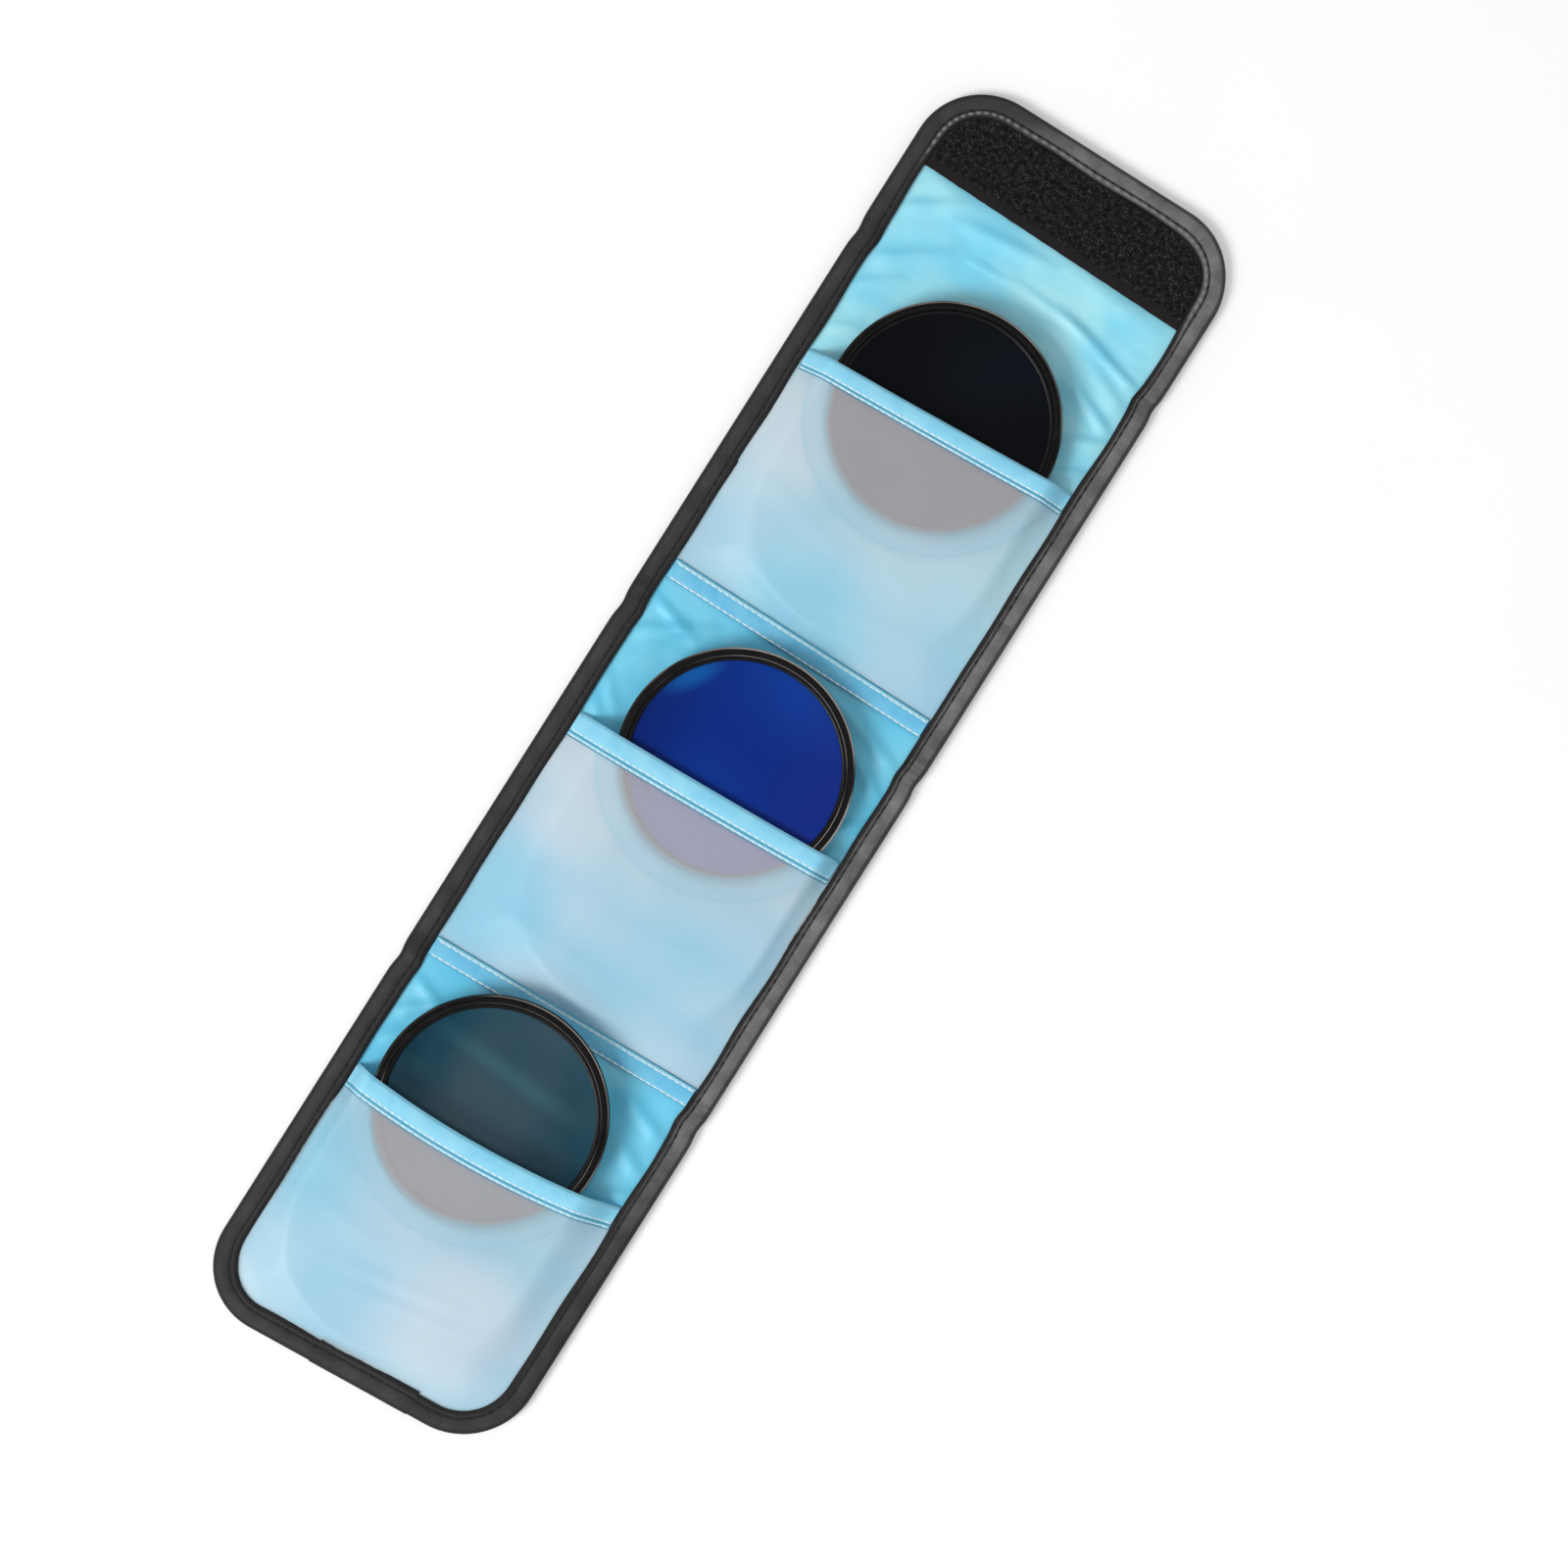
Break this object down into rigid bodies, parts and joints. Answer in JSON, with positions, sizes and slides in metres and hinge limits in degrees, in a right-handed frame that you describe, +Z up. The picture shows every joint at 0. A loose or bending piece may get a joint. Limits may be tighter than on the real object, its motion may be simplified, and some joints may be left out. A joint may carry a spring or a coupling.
{
  "type": "lens filter case",
  "caption": "Folding pocket case laid open: hook flap, padded panels with frosted film pockets, and round lens filters that slide in them.",
  "frame": {"origin": "on the surface that the open case lies on, under the middle of its length and width", "axes": "+Y along the open case towards the flap, +X across it to the right, +Z up, out of the pockets"},
  "size_m": [0.117, 0.4806, 0.0155],
  "materials": {
    "canvas": "coarse black woven canvas, matt",
    "foam": "thin grey padding",
    "lining": "sky blue nylon, silky",
    "binding": "charcoal woven ribbon",
    "blue_ribbon": "light blue woven ribbon",
    "film": "frosted translucent film",
    "hook_pile": "black hook pile",
    "loop_pile": "black loop pile",
    "black_ring": "satin black anodised",
    "dark_glass": "near-black polished glass",
    "blue_glass": "deep blue polished glass",
    "teal_glass": "grey-green polished glass"
  },
  "bodies": {
    "top_panel": {"top_canvas": "canvas", "top_pad": "foam", "top_lining": "lining", "top_binding_left": "binding", "top_binding_right": "binding", "top_pocket_film": "film", "top_pocket_hem": "blue_ribbon", "top_seam_band": "blue_ribbon", "flap_fold_canvas": "canvas", "flap_fold_lining": "lining", "flap_fold_binding_left": "binding", "flap_fold_binding_right": "binding", "upper_fold_canvas": "canvas", "upper_fold_lining": "lining", "upper_fold_binding_left": "binding", "upper_fold_binding_right": "binding"},
    "flap": {"flap_canvas": "canvas", "flap_pad": "foam", "flap_lining": "lining", "flap_binding": "binding", "hook_strip": "hook_pile"},
    "middle_panel": {"middle_canvas": "canvas", "middle_pad": "foam", "middle_lining": "lining", "middle_binding_left": "binding", "middle_binding_right": "binding", "middle_pocket_film": "film", "middle_pocket_hem": "blue_ribbon", "middle_seam_band": "blue_ribbon", "loop_strip": "loop_pile", "lower_fold_canvas": "canvas", "lower_fold_lining": "lining", "lower_fold_binding_left": "binding", "lower_fold_binding_right": "binding"},
    "bottom_panel": {"bottom_canvas": "canvas", "bottom_pad": "foam", "bottom_lining": "lining", "bottom_binding": "binding", "bottom_pocket_film": "film", "bottom_pocket_hem": "blue_ribbon"},
    "top_filter": {"top_filter_ring": "black_ring", "top_filter_glass": "dark_glass", "top_filter_retainer": "black_ring"},
    "middle_filter": {"middle_filter_ring": "black_ring", "middle_filter_glass": "blue_glass", "middle_filter_retainer": "black_ring"},
    "polariser": {"polariser_base_ring": "black_ring"},
    "polariser_front": {"polariser_front_ring": "black_ring", "polariser_glass": "teal_glass", "polariser_retainer": "black_ring"}
  },
  "joints": [
    {"name": "flap_fold", "type": "hinge", "parent": "top_panel", "child": "flap", "pos_m": [0, 0.1769, 0.02273], "axis": [1, 0, 0], "range_deg": [0, 179.5], "deforming": ["flap_fold_canvas", "flap_fold_lining", "flap_fold_binding_left", "flap_fold_binding_right"]},
    {"name": "upper_fold", "type": "hinge", "parent": "top_panel", "child": "middle_panel", "pos_m": [0, 0.0353, 0.01966], "axis": [-1, 0, 0], "range_deg": [0, 179.5], "deforming": ["upper_fold_canvas", "upper_fold_lining", "upper_fold_binding_left", "upper_fold_binding_right"]},
    {"name": "lower_fold", "type": "hinge", "parent": "middle_panel", "child": "bottom_panel", "pos_m": [0, -0.1027, 0.01282], "axis": [-1, 0, 0], "range_deg": [0, 179.5], "deforming": ["lower_fold_canvas", "lower_fold_lining", "lower_fold_binding_left", "lower_fold_binding_right", "middle_seam_band"]},
    {"name": "top_filter_slide", "type": "slide", "parent": "top_panel", "child": "top_filter", "axis": [0, -0.9989, -0.0479], "range_m": [-0.041, 0.0405]},
    {"name": "middle_filter_slide", "type": "slide", "parent": "middle_panel", "child": "middle_filter", "axis": [0, -0.9989, -0.0479], "range_m": [-0.031, 0.0537]},
    {"name": "polariser_slide", "type": "slide", "parent": "bottom_panel", "child": "polariser", "axis": [0, -0.9989, -0.0479], "range_m": [-0.0345, 0.0487]},
    {"name": "polariser_turn", "type": "hinge", "parent": "polariser", "child": "polariser_front", "pos_m": [-0.0037, -0.1383, 0.00765], "axis": [0, -0.0479, 0.9989], "continuous": true}
  ]
}
